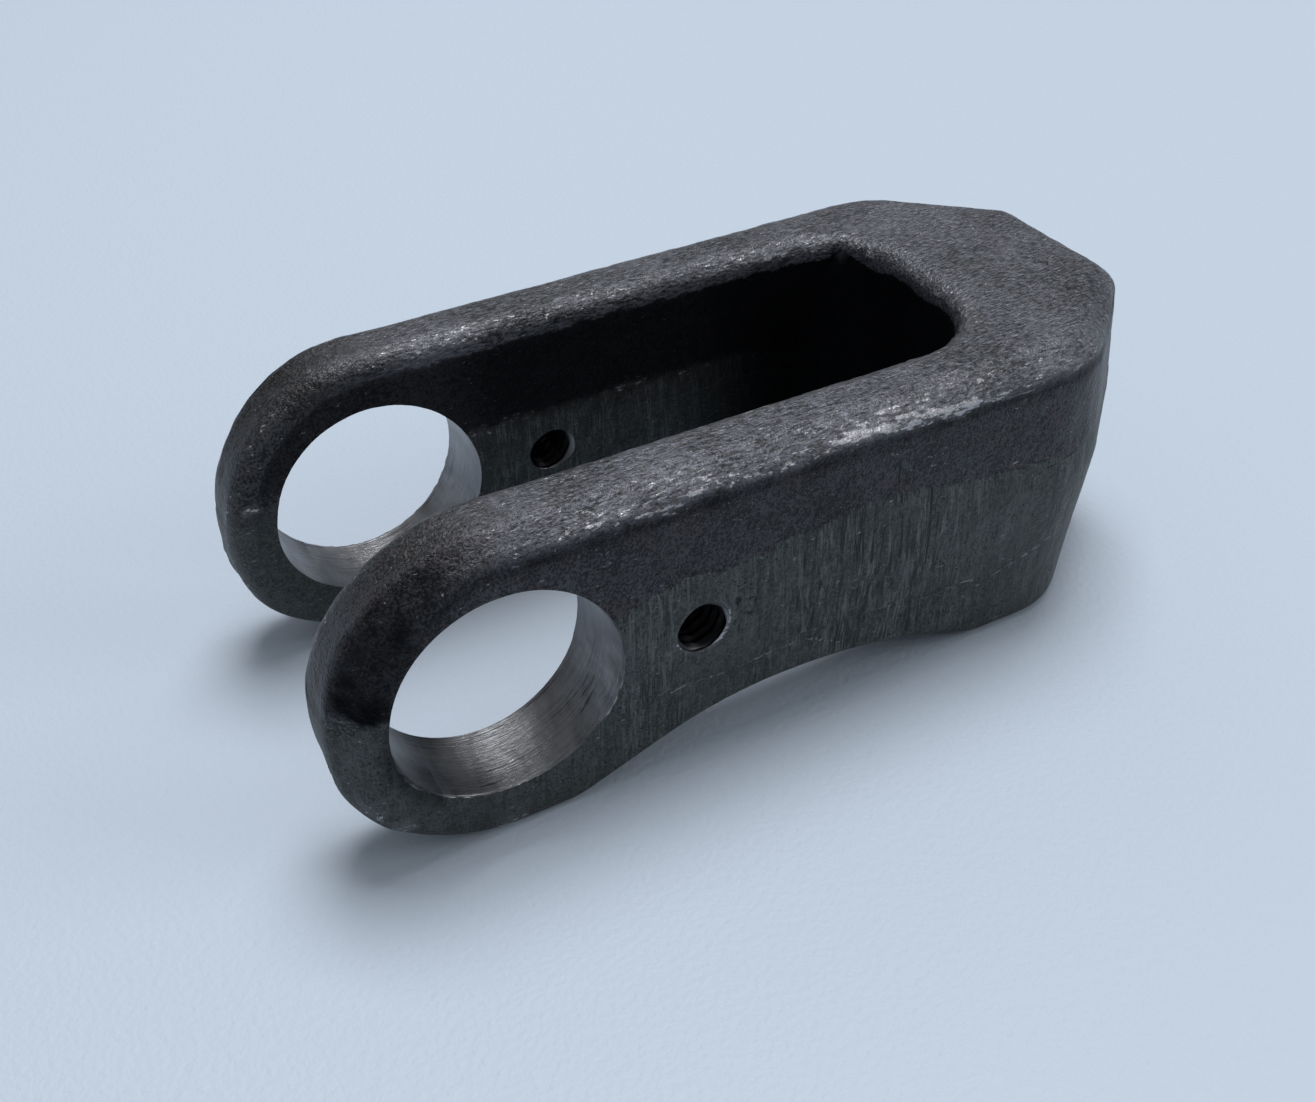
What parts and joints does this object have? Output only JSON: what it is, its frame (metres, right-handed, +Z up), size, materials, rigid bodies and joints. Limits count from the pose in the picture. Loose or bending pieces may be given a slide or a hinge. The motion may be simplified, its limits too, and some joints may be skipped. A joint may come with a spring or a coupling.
{
  "type": "forged yoke",
  "caption": "One-piece forged steel yoke: round eyes bored for a cross pin, a tapped hole through each arm, an open slot between the arms and a solid tapering rear block.",
  "frame": {"origin": "on the pin bore's axis, midway between the two arms", "axes": "+X from the pin bore to the rear block, +Y along the pin bore from the one arm to the other, +Z up, square to the slot's plan"},
  "size_m": [0.108, 0.049, 0.0382],
  "materials": {
    "forged_steel": "drop-forged steel, dark blasted scale as it came from the die, sheared trim band on the sides, bore and cross holes machined bright"
  },
  "bodies": {
    "root": {"forged_yoke": "forged_steel"}
  },
  "joints": []
}
